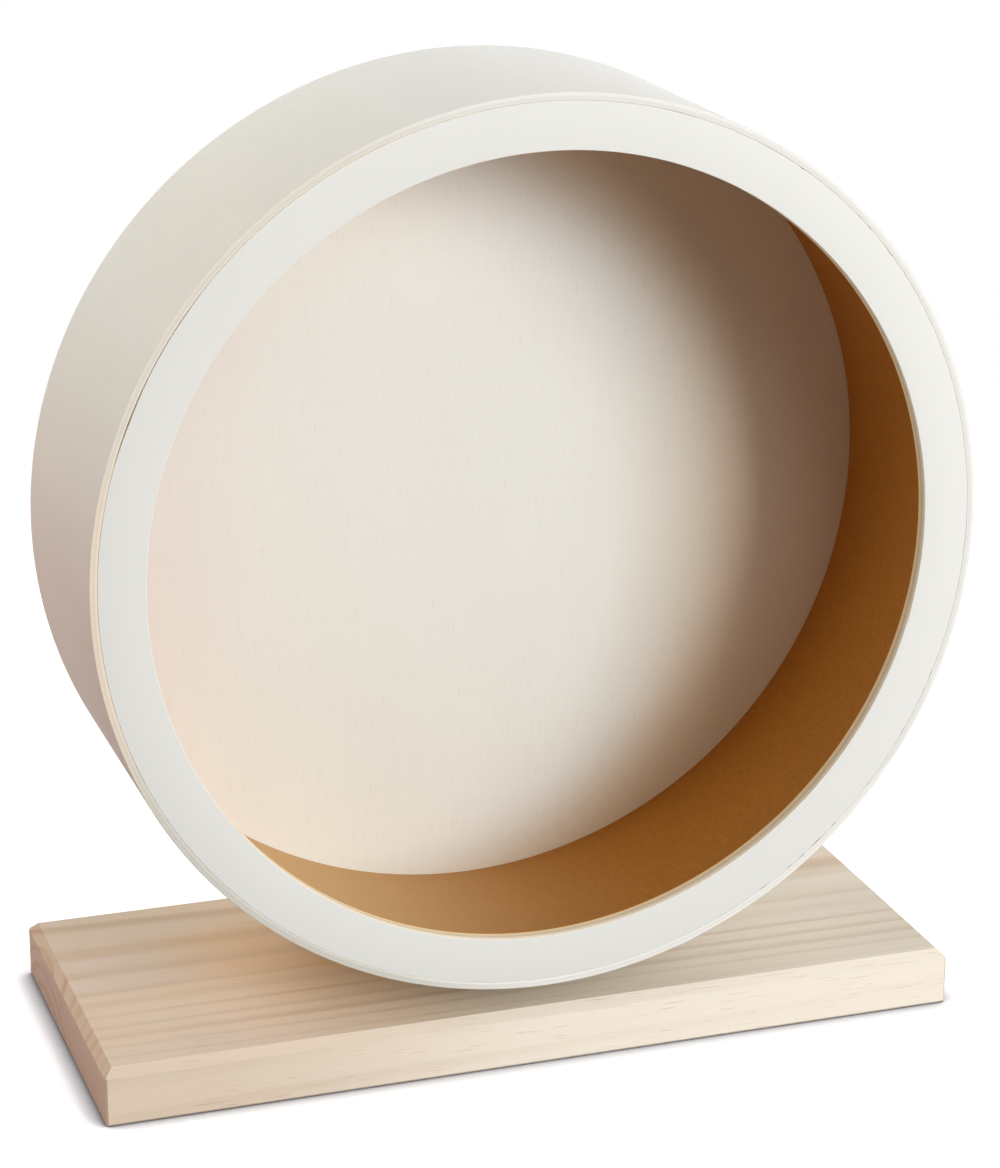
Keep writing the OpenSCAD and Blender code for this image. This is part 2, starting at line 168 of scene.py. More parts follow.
def pine(name, turn, heart, along, calm):
    """Sawn pine. The turn brings the grain to X, and the heart of the tree is shifted onto that axis. The
    front and back faces lie across the rings, and calm is how much fainter the rings show there. Painted
    sheen lightens the wood towards higher X, and a streak of painted warm shade ends near the middle."""
    ring_gap = 6.1
    ring_sway = 5
    flat_ring_sway = 14
    wood = Finish(name)
    spot = wood.spot(turn, heart)

    # Growth rings lie round the heart, each with a band of darker late wood.
    sway = wood.noise(spot, (0.003, 0.012, 0.012), 2.0) - 0.5
    radius = wood.vector("LENGTH", wood.vector("MULTIPLY", spot, (0, 1, 1)), output="Value")
    growth = (radius + sway * ring_sway) / ring_gap
    seasons = {"W": growth, "Scale": 0.7}
    season = wood.node("ShaderNodeTexNoise", {"noise_dimensions": "1D"}, seasons, "Fac")
    age = (growth + season) % 1
    strength = wood.noise(spot, (0.004, 0.05, 0.05), 1.0).rise(0.3, 0.7)
    squarely = wood.facing((0, 1, 0))
    face = squarely.rise(0.45, 0.65)
    # This picks out the front bevels, which are darkened below as painted shade.
    painted_bevel_shade = squarely.rise(0.5, 0.65) * (1 - squarely.rise(0.75, 0.9))
    late = age.rise(0.4, 0.8) * (1 - age.rise(0.85, 1.0)) * (0.25 + strength * 0.75)
    late = late * (1 - face * calm)
    flat_ring = abs(spot.part("Y") + sway * flat_ring_sway + 2).rise(7, 1) * (1 - face) * calm

    # Fibres, resin ducts and broad patches run along the grain. The end grain is cut across it.
    fibre = wood.noise(spot, (0.02, 1.6, 1.6), 3.0, 0.6)
    duct = wood.noise(spot, (0.07, 2.5, 2.5), 0.0).rise(0.71, 0.81)
    patch = wood.noise(spot, (0.008, 0.04, 0.04), 2.0).rise(0.35, 0.65)
    cut_across = wood.facing(along)
    end = cut_across.rise(0.45, 0.95)
    end_bevel = cut_across.rise(0.4, 0.6) * (1 - cut_across.rise(0.8, 0.95))

    # Early wood, with a streak of painted warm shade on the top under the wheel.
    # The wood is lighter towards higher X, with fainter late wood, as painted sheen.
    painted_sheen = spot.part("X").rise(-120, 20)
    early = wood.mix(patch, shade(211, 193, 175), shade(214, 193, 166))
    early = wood.mix(painted_sheen * 0.9, early, shade(236, 226, 210))
    streak = spot.part("X").rise(-125, -75) * (1 - spot.part("X").rise(-50, -10))
    streak = streak * (1 - abs(spot.part("Y") + 30).rise(15, 60) * 0.75) * spot.part("Z").rise(40, 52)
    early = wood.mix(streak * (0.5 + patch * 0.25), early, shade(222, 178, 128))
    sawn = wood.mix(painted_sheen, shade(223, 207, 187), shade(241, 231, 217))
    early = wood.mix(face * calm, early, sawn)

    # Late wood, ducts and end grain lie over it.
    color = wood.mix(late * (0.66 - painted_sheen * 0.38), early, shade(176, 143, 109))
    color = wood.mix(flat_ring * 0.6, color, shade(192, 154, 110))
    color = wood.mix(duct * 0.32, color, shade(178, 124, 98))
    color = wood.brighten(color, 0.95 + fibre * 0.1 - painted_bevel_shade * 0.09)
    end_grain = wood.mix(late * 0.2, shade(190, 151, 130), shade(150, 106, 80))
    color = wood.mix(end * 0.85, color, end_grain)
    color = wood.mix(end_bevel * 0.5, color, shade(226, 198, 174))
    color = wood.mix(end_bevel * (0.1 + late * 0.6), color, shade(172, 130, 88))
    relief = fibre * 0.5 + late * 0.5
    return wood.finish(color, 0.5 + fibre * 0.2, relief, 0.00004, gloss=0.2)


def copied(name, node):
    """A copy of a CAD solid as one closed mesh with whole flat faces. It notes how sharp each edge is."""
    weld = 1e-6
    flat_bend = 0.2
    blunt_bend = 25
    square_bend = 90
    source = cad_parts[node].data
    corners = [corner.co for corner in source.vertices]
    mesh = bpy.data.meshes.new(name)
    mesh.from_pydata(corners, [], [face.vertices[:] for face in source.polygons])
    solid = bmesh.new()
    solid.from_mesh(mesh)
    bmesh.ops.remove_doubles(solid, verts=solid.verts, dist=weld)
    slivers = [face for face in solid.faces if any(edge.is_boundary for edge in face.edges)]
    bmesh.ops.delete(solid, geom=slivers, context="FACES")
    bmesh.ops.recalc_face_normals(solid, faces=solid.faces)
    whole = {"verts": solid.verts, "edges": solid.edges}
    bmesh.ops.dissolve_limit(solid, angle_limit=math.radians(flat_bend), **whole)
    sharpness = solid.edges.layers.float.new("bevel_weight_edge")
    for edge in solid.edges:
        bend = math.degrees(edge.calc_face_angle(0.0))
        edge[sharpness] = min(bend / square_bend, 1.0) if bend > blunt_bend else 0.0
    solid.to_mesh(mesh)
    solid.free()
    piece = bpy.data.objects.new(name, mesh)
    bpy.context.scene.collection.objects.link(piece)
    mesh.shade_smooth()
    return piece


def softened(name, node, width):
    """A copy of a CAD solid whose square edges are rounded to this width, and blunter ones to less."""
    piece = copied(name, node)
    bevel = piece.modifiers.new("rounded edges", "BEVEL")
    bevel.width = width
    bevel.segments = 3
    bevel.limit_method = "WEIGHT"
    bevel.harden_normals = True
    return piece


def fit(piece, material, body, slot, *nodes):
    """Gives a piece its material and says what it rides on and stands for."""
    piece.data.materials.clear()
    piece.data.materials.append(material)
    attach(piece, body)
    if nodes:
        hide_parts(*nodes)


board_turn = (0, math.radians(-0.5), math.radians(1.0))
board_pine = pine("pine_board", board_turn, heart=(0, -30, 34), along=(1, 0, 0), calm=0.7)
board = softened("board", "base_board", 0.0017)
fit(board, board_pine, "stand", "pine", "base_board")

# Upright post. Pine, cut to a taper with a round head and a small bevel round both faces, with the grain
# up and down. It stands on the board behind the drum, and its head holds both bearings.
post_turn = (0, math.radians(90), 0)
post_pine = pine("pine_post", post_turn, heart=(0, -60, 20), along=(0, 0, 1), calm=0.0)
post = softened("post", "upright_post", 0.0007)
fit(post, post_pine, "stand", "pine", "upright_post")

# Post dowels. Two beech pegs with pressed-in flutes and chamfered ends, glued half into the board and half
# into the post. Each is turned as a plain blank, and the tree presses the flutes into it and sets out the
# copies. The same tree rolls the threads of the screws and the bolt.
dowel_low, dowel_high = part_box("post_dowels")


class Shaping(Graph):
    """A geometry tree with named sizes."""

    def __init__(self, name):
        super().__init__(bpy.data.node_groups.new(name, "GeometryNodeTree"))
        self.entry = self.tree.nodes.new("NodeGroupInput")

    def size(self, name, kind="NodeSocketFloat"):
        """Adds an input to the tree."""
        self.tree.interface.new_socket(name, in_out="INPUT", socket_type=kind)
        return Number(self, self.entry.outputs[name])

    def end(self, geometry):
        """Ends the tree in real meshes, whose material is its last input."""
        self.tree.interface.new_socket("Piece", in_out="OUTPUT", socket_type="NodeSocketGeometry")
        real = self.node("GeometryNodeRealizeInstances", {}, {"Geometry": geometry})
        finish = self.size("Finish", "NodeSocketMaterial")
        done = self.node("GeometryNodeSetMaterial", {}, {"Geometry": real, "Material": finish})
        self.node("NodeGroupOutput", {}, {"Piece": done})

    def make(self, name, finish, start=None, **sizes):
        """Runs the tree on a mesh with these sizes, and keeps what it makes as a plain mesh."""
        piece = bpy.data.objects.new(name, start or bpy.data.meshes.new(name))
        bpy.context.scene.collection.objects.link(piece)
        modifier = piece.modifiers.new("shaping", "NODES")
        modifier.node_group = self.tree
        sizes["Finish"] = finish
        for item in self.tree.interface.items_tree:
            if item.name in sizes:
                modifier[item.identifier] = sizes[item.name]
        evaluated = piece.evaluated_get(bpy.context.evaluated_depsgraph_get())
        mesh = bpy.data.meshes.new_from_object(evaluated)
        piece.modifiers.remove(modifier)
        piece.data = mesh
        mesh.name = name
        smooth(mesh)
        return piece


def smooth(mesh):
    """Shades a mesh smooth, apart from edges that bend sharply."""
    sharp_bend = 40
    mesh.shade_smooth()
    mesh.set_sharp_from_angle(angle=math.radians(sharp_bend))


def groove_roller():
    """Presses a screw thread or straight flutes into a blank that stands on Z, and sets out its copies."""
    shaping = Shaping("press_grooves")
    blank = shaping.size("Blank", "NodeSocketGeometry")
    grooves = shaping.size("Grooves")
    pitch = shaping.size("Pitch")
    depth = shaping.size("Depth")
    land = shaping.size("Land")
    low = shaping.size("Low")
    high = shaping.size("High")
    fade = shaping.size("Fade")
    count = shaping.size("Count", "NodeSocketInt")
    first = shaping.size("First", "NodeSocketVector")
    apart = shaping.size("Apart", "NodeSocketVector")
    lean = shaping.size("Lean", "NodeSocketVector")

    place = shaping.node("GeometryNodeInputPosition", {}, {})
    x = place.part("X")
    y = place.part("Y")
    z = place.part("Z")
    turn = shaping.node("ShaderNodeMath", {"operation": "ARCTAN2"}, {0: y, 1: x}) / math.tau
    wave = abs((z / pitch - turn * grooves) % 1 * 2 - 1)
    cut = wave.rise(land, 1.0) * z.rise(low, low + fade) * (1 - z.rise(high - fade, high)) * depth
    flat = shaping.node("ShaderNodeCombineXYZ", {}, {"X": x, "Y": y})
    radius = shaping.vector("LENGTH", flat, output="Value")
    shrink = (radius - cut) / radius
    pressed = shaping.node("ShaderNodeCombineXYZ", {}, {"X": x * shrink, "Y": y * shrink, "Z": z})
    blank = shaping.node("GeometryNodeSetPosition", {}, {"Geometry": blank, "Position": pressed})
    spots = {"Count": count, "Start Location": first, "Offset": apart}
    spots = shaping.node("GeometryNodeMeshLine", {"mode": "OFFSET"}, spots)
    copies = {"Points": spots, "Instance": blank, "Rotation": lean}
    shaping.end(shaping.node("GeometryNodeInstanceOnPoints", {}, copies))
    return shaping


def turned(outline, steps, wear=None, axle=False):
    """Turns a closed outline of (radius, along) points round Z, or round the axle. Wear may move a point
    by its angle."""
    weld = 1e-7
    shape = bmesh.new()
    rings = []
    for step in range(steps):
        angle = math.tau * step / steps
        ring = []
        for radius, along in outline:
            if wear:
                radius, along = wear(angle, radius, along)
            across = radius * math.cos(angle)
            rise = radius * math.sin(angle)
            corner = (across, along, axle_height + rise) if axle else (across, rise, along)
            ring.append(shape.verts.new(corner))
        rings.append(ring)
    for ring, after in zip(rings, rings[1:] + rings[:1]):
        for index, (radius, along) in enumerate(outline):
            follow = (index + 1) % len(outline)
            if radius or outline[follow][0]:
                shape.faces.new((ring[index], ring[follow], after[follow], after[index]))
    bmesh.ops.remove_doubles(shape, verts=shape.verts, dist=weld)
    bmesh.ops.recalc_face_normals(shape, faces=shape.faces)
    mesh = bpy.data.meshes.new("turned")
    shape.to_mesh(mesh)
    shape.free()
    smooth(mesh)
    return mesh


roller = groove_roller()
dowel_radius = (dowel_high.y - dowel_low.y) / 2
dowel_end = 0.0008
dowel_blank = turned([
    (0, dowel_low.z),
    (dowel_radius - dowel_end, dowel_low.z),
    (dowel_radius, dowel_low.z + dowel_end),
    (dowel_radius, dowel_low.z + 3 * dowel_end),
    (dowel_radius, dowel_high.z - 3 * dowel_end),
    (dowel_radius, dowel_high.z - dowel_end),
    (dowel_radius - dowel_end, dowel_high.z),
    (0, dowel_high.z),
], 128)

beech_wood = Finish("beech")
beech_spot = beech_wood.spot()
beech_fibre = beech_wood.noise(beech_spot, (1.8, 1.8, 0.06), 3.0)
beech_fleck = beech_wood.noise(beech_spot, (2.4, 2.4, 0.5), 0.0).rise(0.62, 0.7)
beech_color = beech_wood.mix(beech_fleck * 0.6, shade(214, 176, 136), shade(158, 108, 72))
beech_color = beech_wood.brighten(beech_color, 0.9 + beech_fibre * 0.2)
beech = beech_wood.finish(beech_color, 0.5 + beech_fibre * 0.15, beech_fibre, 0.00003)
dowels = roller.make(
    "dowels",
    beech,
    dowel_blank,
    Grooves=16.0,
    Pitch=1000.0,
    Depth=0.0003,
    Land=0.35,
    Low=dowel_low.z + dowel_end,
    High=dowel_high.z - dowel_end,
    Fade=2 * dowel_end,
    Count=2,
    First=(dowel_low.x + dowel_radius, dowel_low.y + dowel_radius, 0.0),
    Apart=(dowel_high.x - dowel_low.x - 2 * dowel_radius, 0.0, 0.0),
    Lean=(0.0, 0.0, 0.0),
)
fit(dowels, beech, "stand", "beech", "post_dowels")

# Post screws. Two countersunk wood screws of zinc-plated steel with a cross recess, driven up through the
# board into the post. The heads are cut from the CAD solid, and the rest is turned and then threaded.
screw_low, screw_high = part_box("post_screws")
screw_radius = 0.002
screw_core = 0.0014
screw_neck = 0.0032
screw_tip = 0.006
screw_pitch = 0.0018
screw_plain = 0.008
rows_per_turn = 8
tip_rows = 24
head_radius = (screw_high.y - screw_low.y) / 2


def metal(name, base, dull, lines):
    """Bare or plated steel, this dull, with so many turning marks to the millimetre round the axle."""
    steel = Finish(name)
    spot = steel.spot()
    blotch = steel.noise(spot, (0.35, 0.35, 0.35), 3.0, 0.6)
    grain = steel.noise(spot, (6, 6, 6), 2.0)
    level = steel.vector("SUBTRACT", spot, (0, 0, axle_height * 1000))
    ring = steel.vector("LENGTH", steel.vector("MULTIPLY", level, (1, 0, 1)), output="Value")
    marks = {"W": ring, "Scale": lines}
    mark = steel.node("ShaderNodeTexNoise", {"noise_dimensions": "1D"}, marks, "Fac")
    color = steel.brighten(base, 0.9 + blotch * 0.2)
    color = steel.mix(grain.rise(0.6, 0.8) * 0.15, color, shade(150, 148, 142))
    dullness = dull + blotch * 0.12 + mark * 0.08
    relief = grain * 0.4 + mark * 0.6
    return steel.finish(color, dullness, relief, 0.000006, metal=1.0)


def joined(name, *pieces):
    """One piece made of several closed meshes."""
    whole = bmesh.new()
    for piece in pieces:
        whole.from_mesh(piece.data)
        bpy.data.objects.remove(piece)
    mesh = bpy.data.meshes.new(name)
    whole.to_mesh(mesh)
    whole.free()
    smooth(mesh)
    made = bpy.data.objects.new(name, mesh)
    bpy.context.scene.collection.objects.link(made)
    return made


axle_height = sum(corner.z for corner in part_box("drum_rim")) / 2
zinc = metal("zinc_plate", shade(184, 188, 194), 0.24, 3.0)
screw_heads = copied("screw_heads", "post_screws")
heads = bmesh.new()
heads.from_mesh(screw_heads.data)
neck_cut = {"plane_co": (0, 0, screw_neck), "plane_no": (0, 0, 1), "clear_outer": True}
everything = heads.verts[:] + heads.edges[:] + heads.faces[:]
bmesh.ops.bisect_plane(heads, geom=everything, **neck_cut)
bmesh.ops.holes_fill(heads, edges=[edge for edge in heads.edges if edge.is_boundary])
heads.to_mesh(screw_heads.data)
heads.free()

screw_outline = [(0, screw_neck), (screw_radius, screw_neck)]
thread_rows = round((screw_high.z - screw_tip - screw_neck) / (screw_pitch / rows_per_turn))
for row in range(1, thread_rows + 1):
    screw_outline.append((screw_radius, screw_neck + row * screw_pitch / rows_per_turn))
tip_start = screw_outline[-1][1]
for row in range(1, tip_rows + 1):
    share = row / tip_rows
    screw_outline.append((screw_radius * (1 - share), tip_start + (screw_high.z - tip_start) * share))
screw_threads = roller.make(
    "screw_threads",
    zinc,
    turned(screw_outline, 32),
    Grooves=1.0,
    Pitch=screw_pitch,
    Depth=screw_radius - screw_core,
    Land=0.15,
    Low=screw_neck + screw_plain,
    High=screw_high.z,
    Fade=0.002,
    Count=2,
    First=(screw_low.x + head_radius, screw_low.y + head_radius, 0.0),
    Apart=(screw_high.x - screw_low.x - 2 * head_radius, 0.0, 0.0),
    Lean=(0.0, 0.0, 0.0),
)
screws = joined("screws", screw_heads, screw_threads)
fit(screws, zinc, "stand", "zinc_steel", "post_screws")

# Drum rim. One long strip of thin plywood, bent round into a hoop with its grain across the strip. Both
# ends are planed to the same long slant and glued over each other. The tree lays the strip out flat, notes
# each point's place in it for the material, and then bends it.
rim_low, rim_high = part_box("drum_rim")
rim_outside = (rim_high.x - rim_low.x) / 2
rim_thickness = 0.0025


def strip_bender():
    """Bends a flat strip into a hoop round the axle, with its two ends planed to a slant."""
    shaping = Shaping("bend_a_strip")
    length = shaping.size("Length")
    width = shaping.size("Width")
    thickness = shaping.size("Thickness")
    edge = shaping.size("Edge")
    slant = shaping.size("Slant")
    start = shaping.size("Start")
    front = shaping.size("Front")
    height = shaping.size("Height")
    outside = shaping.size("Outside")
    steps = shaping.size("Steps", "NodeSocketInt")

    far_end = shaping.node("ShaderNodeCombineXYZ", {}, {"X": length})
    line = shaping.node("GeometryNodeCurvePrimitiveLine", {}, {"End": far_end})
    line = shaping.node("GeometryNodeResampleCurve", {}, {"Curve": line, "Count": steps})
    sawn = {"Width": width, "Height": thickness}
    section = shaping.node("GeometryNodeCurvePrimitiveQuadrilateral", {}, sawn)
    rounding = {"Curve": section, "Count": 4, "Radius": edge}
    section = shaping.node("GeometryNodeFilletCurve", {"mode": "POLY"}, rounding)
    strip = {"Curve": line, "Profile Curve": section, "Fill Caps": True}
    strip = shaping.node("GeometryNodeCurveToMesh", {}, strip)
    place = shaping.node("GeometryNodeInputPosition", {}, {})
    note = {"Geometry": strip, "Name": "strip", "Value": place}
    strip = shaping.node("GeometryNodeStoreNamedAttribute", {"data_type": "FLOAT_VECTOR"}, note)

    across = place.part("Y")
    through = place.part("Z")
    middle = outside - thickness * 0.5
    angle = start + (place.part("X") + through / thickness * slant) / middle
    radius = middle + through
    x = radius * angle.math("COSINE", angle)
    z = height + radius * angle.math("SINE", angle)
    y = front + width * 0.5 + across
    bent = shaping.node("ShaderNodeCombineXYZ", {}, {"X": x, "Y": y, "Z": z})
    hoop = shaping.node("GeometryNodeSetPosition", {}, {"Geometry": strip, "Position": bent})
    hoop = shaping.node("GeometryNodeFlipFaces", {}, {"Mesh": hoop})
    shaping.end(hoop)
    return shaping


bender = strip_bender()


def plywood(sheet, grain, depth, edge, face, figure, ply_light, ply_dark, ply):
    """Plywood. X of the grain runs along the face fibres, and figure is how strongly they show. Depth is
    counted from one face, in millimetres as the thickness of a ply is."""
    # The face veneer, with fibres, soft clouds and pores.
    fibre = sheet.noise(grain, (0.03, 1.5, 1.5), 3.0, 0.6)
    cloud = sheet.noise(grain, (0.012, 0.03, 0.03), 2.0)
    pore = sheet.noise(grain, (0.12, 2.6, 2.6), 0.0).rise(0.68, 0.76)
    vary = (fibre - 0.5) * (0.05 * figure) + (cloud - 0.5) * (0.06 * figure)
    veneer = sheet.brighten(face, 1 + vary)
    veneer = sheet.mix(pore * (0.12 * figure), veneer, ply_dark)

    # The sawn edge, in which every second ply lies across the others, with glue between them.
    layer = (depth / ply) % 2
    cross = layer.rise(0.96, 1.04) * (1 - layer.rise(1.9, 1.98))
    glue = abs(layer - 1).rise(0.08, 0.0)
    streak = sheet.noise(grain, (0.4, 0.4, 0.4), 3.0, 0.7)
    cut = sheet.mix(cross, ply_light, ply_dark)
    cut = sheet.mix(glue * 0.1, cut, shade(140, 112, 84))
    cut = sheet.brighten(cut, 0.93 + streak * 0.14)

    color = sheet.mix(edge, veneer, cut)
    relief = fibre * (1 - edge) * figure + (cross * 0.5 + streak * 0.5) * edge
    return sheet.finish(color, 0.5 + fibre * 0.15, relief, 0.00003, gloss=0.12)


rim_sheet = Finish("bent_plywood")
strip_place = rim_sheet.node("ShaderNodeAttribute", {"attribute_name": "strip"}, {}, "Vector")
strip_place = rim_sheet.vector("MULTIPLY", strip_place, (1000, 1000, 1000))
across_strip = {"Vector": strip_place, "Rotation": (0, 0, math.radians(90))}
rim_grain = rim_sheet.node("ShaderNodeMapping", {}, across_strip)
rim_depth = strip_place.part("Z") + rim_thickness / 2 * 1000
rim_edge = rim_sheet.facing((0, 1, 0)).rise(0.4, 0.8)

# The veneer changes colour along the strip, counted in millimetres from its joint.
along_strip = strip_place.part("X")
# A darker, redder zone on the left side of the drum is painted warm shade.
painted_warm_shade = along_strip.rise(450, 585) * (1 - along_strip.rise(600, 720))
near_ends = along_strip.rise(420, 310) + along_strip.rise(740, 900)
rim_face = rim_sheet.mix(near_ends, shade(231, 228, 217), shade(218, 218, 214))
rim_face = rim_sheet.mix(painted_warm_shade, rim_face, shade(214, 190, 178))
rim_ply = rim_sheet.mix(along_strip.rise(330, 400), shade(226, 225, 220), shade(221, 216, 204))
rim_ply = rim_sheet.mix(along_strip.rise(500, 530), rim_ply, shade(230, 216, 198))
rim_ply = rim_sheet.mix(along_strip.rise(590, 640), rim_ply, shade(208, 205, 196))
rim_ply = rim_sheet.mix(along_strip.rise(730, 790), rim_ply, shade(233, 231, 226))
rim_cross_ply = rim_sheet.brighten(rim_ply, 0.93)
rim_plywood = plywood(
    rim_sheet,
    rim_grain,
    rim_depth,
    rim_edge,
    rim_face,
    figure=1.6,
    ply_light=rim_ply,
    ply_dark=rim_cross_ply,
    ply=0.83,
)
rim_middle = rim_outside - rim_thickness / 2
end_gap = 0.0003
rim = bender.make(
    "rim",
    rim_plywood,
    Length=math.tau * rim_middle - end_gap,
    Width=rim_high.y - rim_low.y,
    Thickness=rim_thickness,
    Edge=0.0003,
    Slant=0.020,
    Start=math.radians(-35),
    Front=rim_low.y,
    Height=axle_height,
    Outside=rim_outside,
    Steps=721,
)
fit(rim, rim_plywood, "wheel", "rim_plywood", "drum_rim")

# Front ring. Sawn from flat plywood and pressed into the front of the rim, flush with it, with glue. The
# gap round it is open only at the upper left. Its inner edge has small chips, and one larger tear-out.
ring_low, ring_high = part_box("front_ring")
ring_outside = (ring_high.x - ring_low.x) / 2
ring_width = 0.0153
ring_inside = ring_outside - ring_width
ring_edge = 0.0003
rim_inside = rim_outside - rim_thickness

# Wear on the ring. Places are in degrees round the axle from the right, and depths in metres.
glued_gap = 0.00002
open_gaps = [(157.5, 7, 0.0003), (149, 14, 0.00016)]
wavy_depth = 0.00006
fuzzy_depth = 0.00005
frayed_middle = 318
frayed_reach = 30
frayed_depth = 0.0009
pits = [38.5, 43.0, 55.5]
pit_reach = 0.7
pit_depth = 0.0001
tear_end = 346.9
tear_span = 2.5
tear_depth = 0.0007
chip_depth = 0.0003


def rounded(corners, steps=4):
    """Rounds each (radius, y, rounding) corner of an outline."""
    outline = []
    for index, (radius, y, rounding) in enumerate(corners):
        corner = Vector((radius, y))
        if not rounding:
            outline.append(corner)
            continue
        before = Vector(corners[index - 1][:2])
        after = Vector(corners[(index + 1) % len(corners)][:2])
        first = corner + (before - corner).normalized() * rounding
        last = corner + (after - corner).normalized() * rounding
        for step in range(steps + 1):
            share = step / steps
            outline.append(first.lerp(corner, share).lerp(corner.lerp(last, share), share))
    return outline


def hump(angle, middle, reach):
    """1 at the middle angle and 0 further from it than the reach, both in degrees."""
    away = abs((math.degrees(angle) - middle + 180) % 360 - 180) / reach
    return max(0.0, 1 - away * away) ** 2


def rough(spot, grains, least=0.0):
    """Random bumps, finer the more grains there are. Only what stands above the least shows."""
    return max(0.0, noise.noise(spot * grains) - least)


def ring_wear(angle, radius, y):
    """Varies the gap round the ring, and breaks chips out of the front of its inner edge."""
    spot = Vector((math.cos(angle), math.sin(angle), 0.0))
    if radius > ring_outside - 2 * ring_edge:
        gap = glued_gap
        for middle, reach, depth in open_gaps:
            gap += depth * hump(angle, middle, reach)
        gap += wavy_depth * rough(spot, 9) + fuzzy_depth * rough(spot, 60)
        gap += frayed_depth * hump(angle, frayed_middle, frayed_reach) * rough(spot, 35)
        for middle in pits:
            gap += pit_depth * hump(angle, middle, pit_reach)
        radius += rim_inside - ring_outside - gap
    if radius < ring_inside + 2 * ring_edge and y < ring_low.y + 2 * ring_edge:
        torn = (tear_end - math.degrees(angle)) / tear_span
        chip = tear_depth * torn if 0 < torn < 1 else 0.0
        chip += chip_depth * rough(spot, 45, 0.4)
        radius = ring_inside + (radius - ring_inside) * (1 + chip / ring_edge)
        y = ring_low.y + (y - ring_low.y) * (1 + chip / ring_edge)
    return radius, y


def panel(sheet, front, face, figure, ply_light, ply_dark, ply):
    """Flat plywood with upright grain, whose front face is at this y."""
    grain = sheet.spot(turn=(0, math.radians(90), 0))
    depth = sheet.spot().part("Y") - front * 1000
    edge = 1 - sheet.facing((0, 1, 0)).rise(0.5, 0.9)
    return plywood(sheet, grain, depth, edge, face, figure, ply_light, ply_dark, ply)


def wheel_part(name, mesh, material, slot, node):
    """A turned piece of the wheel."""
    piece = bpy.data.objects.new(name, mesh)
    bpy.context.scene.collection.objects.link(piece)
    mesh.name = name
    fit(piece, material, "wheel", slot, node)


ring_sheet = Finish("ring_plywood")
# The ply edges grow warmer towards the back, as painted warm bounce light.
ring_ply = ring_sheet.spot().part("Y").rise(-61.5, -60.5)
ring_ply = ring_sheet.mix(ring_ply, shade(248, 236, 212), shade(250, 224, 176))
ring_face = shade(222, 222, 218)
ring_plywood = panel(ring_sheet, ring_low.y, ring_face, 0.5, ring_ply, shade(222, 212, 192), 1.67)
ring_outline = rounded([
    (ring_inside, ring_low.y, ring_edge),
    (ring_outside, ring_low.y, ring_edge * 0.7),
    (ring_outside, ring_high.y, ring_edge),
    (ring_inside, ring_high.y, ring_edge),
])
ring_mesh = turned(ring_outline, 1440, ring_wear, axle=True)
wheel_part("ring", ring_mesh, ring_plywood, "panel_plywood", "front_ring")

# Track liner. A strip of fine-grained cork sheet, laid round inside the rim between the ring and the disc
# and glued down, with its two ends butted together. Painted light and sheen make it lighter at the lower
# left, and painted shade darker on the upper right.
liner_low, liner_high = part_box("track_liner")
liner_outside = (liner_high.x - liner_low.x) / 2
liner_thickness = 0.003
cork_sheet = Finish("cork")
cork_spot = cork_sheet.spot()
granule = cork_sheet.node("ShaderNodeTexVoronoi", {}, {"Vector": cork_spot, "Scale": 0.8}, "Color")
tone = granule.part("X")
speck = cork_sheet.noise(cork_spot, (1.6, 1.6, 1.6), 3.0, 0.6)
cork_place = cork_sheet.node("ShaderNodeAttribute", {"attribute_name": "strip"}, {}, "Vector")

# The cork changes colour along the strip, counted in millimetres from its joint.
along_cork = cork_place.part("X") * 1000
# A lighter zone at the lower left, where the wheel rests, is painted light and sheen.
painted_light_zone = along_cork.rise(140, 270) * (1 - along_cork.rise(310, 440))
cork_color = cork_sheet.mix(tone, shade(192, 129, 47), shade(184, 119, 39))
cork_color = cork_sheet.mix(painted_light_zone * (0.85 + speck * 0.3), cork_color, shade(205, 165, 112))
# The upper right part is made darker as painted shade.
cork_color = cork_sheet.mix(along_cork.rise(540, 700) * 0.5, cork_color, shade(164, 94, 24))
cork_color = cork_sheet.brighten(cork_color, 0.94 + speck * 0.12)
cork = cork_sheet.finish(cork_color, 0.46 + speck * 0.1, speck, 0.00004, gloss=0.15)
liner = bender.make(
    "liner",
    cork,
    Length=math.tau * (liner_outside - liner_thickness / 2) - end_gap,
    Width=liner_high.y - liner_low.y,
    Thickness=liner_thickness,
    Edge=0.0002,
    Slant=0.0,
    Start=math.radians(122),
    Front=liner_low.y,
    Height=axle_height,
    Outside=liner_outside,
    Steps=721,
)
fit(liner, cork, "wheel", "cork", "track_liner")

# Back disc. Sawn from flat plywood, let into the back of the rim and glued. Its inner side is bare, with
# painted warm shade towards the right and in a crescent beside the cork there, and painted light near its
# top.
disc_low, disc_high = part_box("back_disc")
disc_radius = (disc_high.x - disc_low.x) / 2
disc_edge = 0.0004
disc_sheet = Finish("disc_plywood")
disc_spot = disc_sheet.spot(shift=(0, -disc_low.y * 1000, -axle_height * 1000))
across_disc = disc_spot.part("X")
inner_side = 1 - disc_spot.part("Y").rise(1, 2)
up_disc = disc_spot.part("Z")

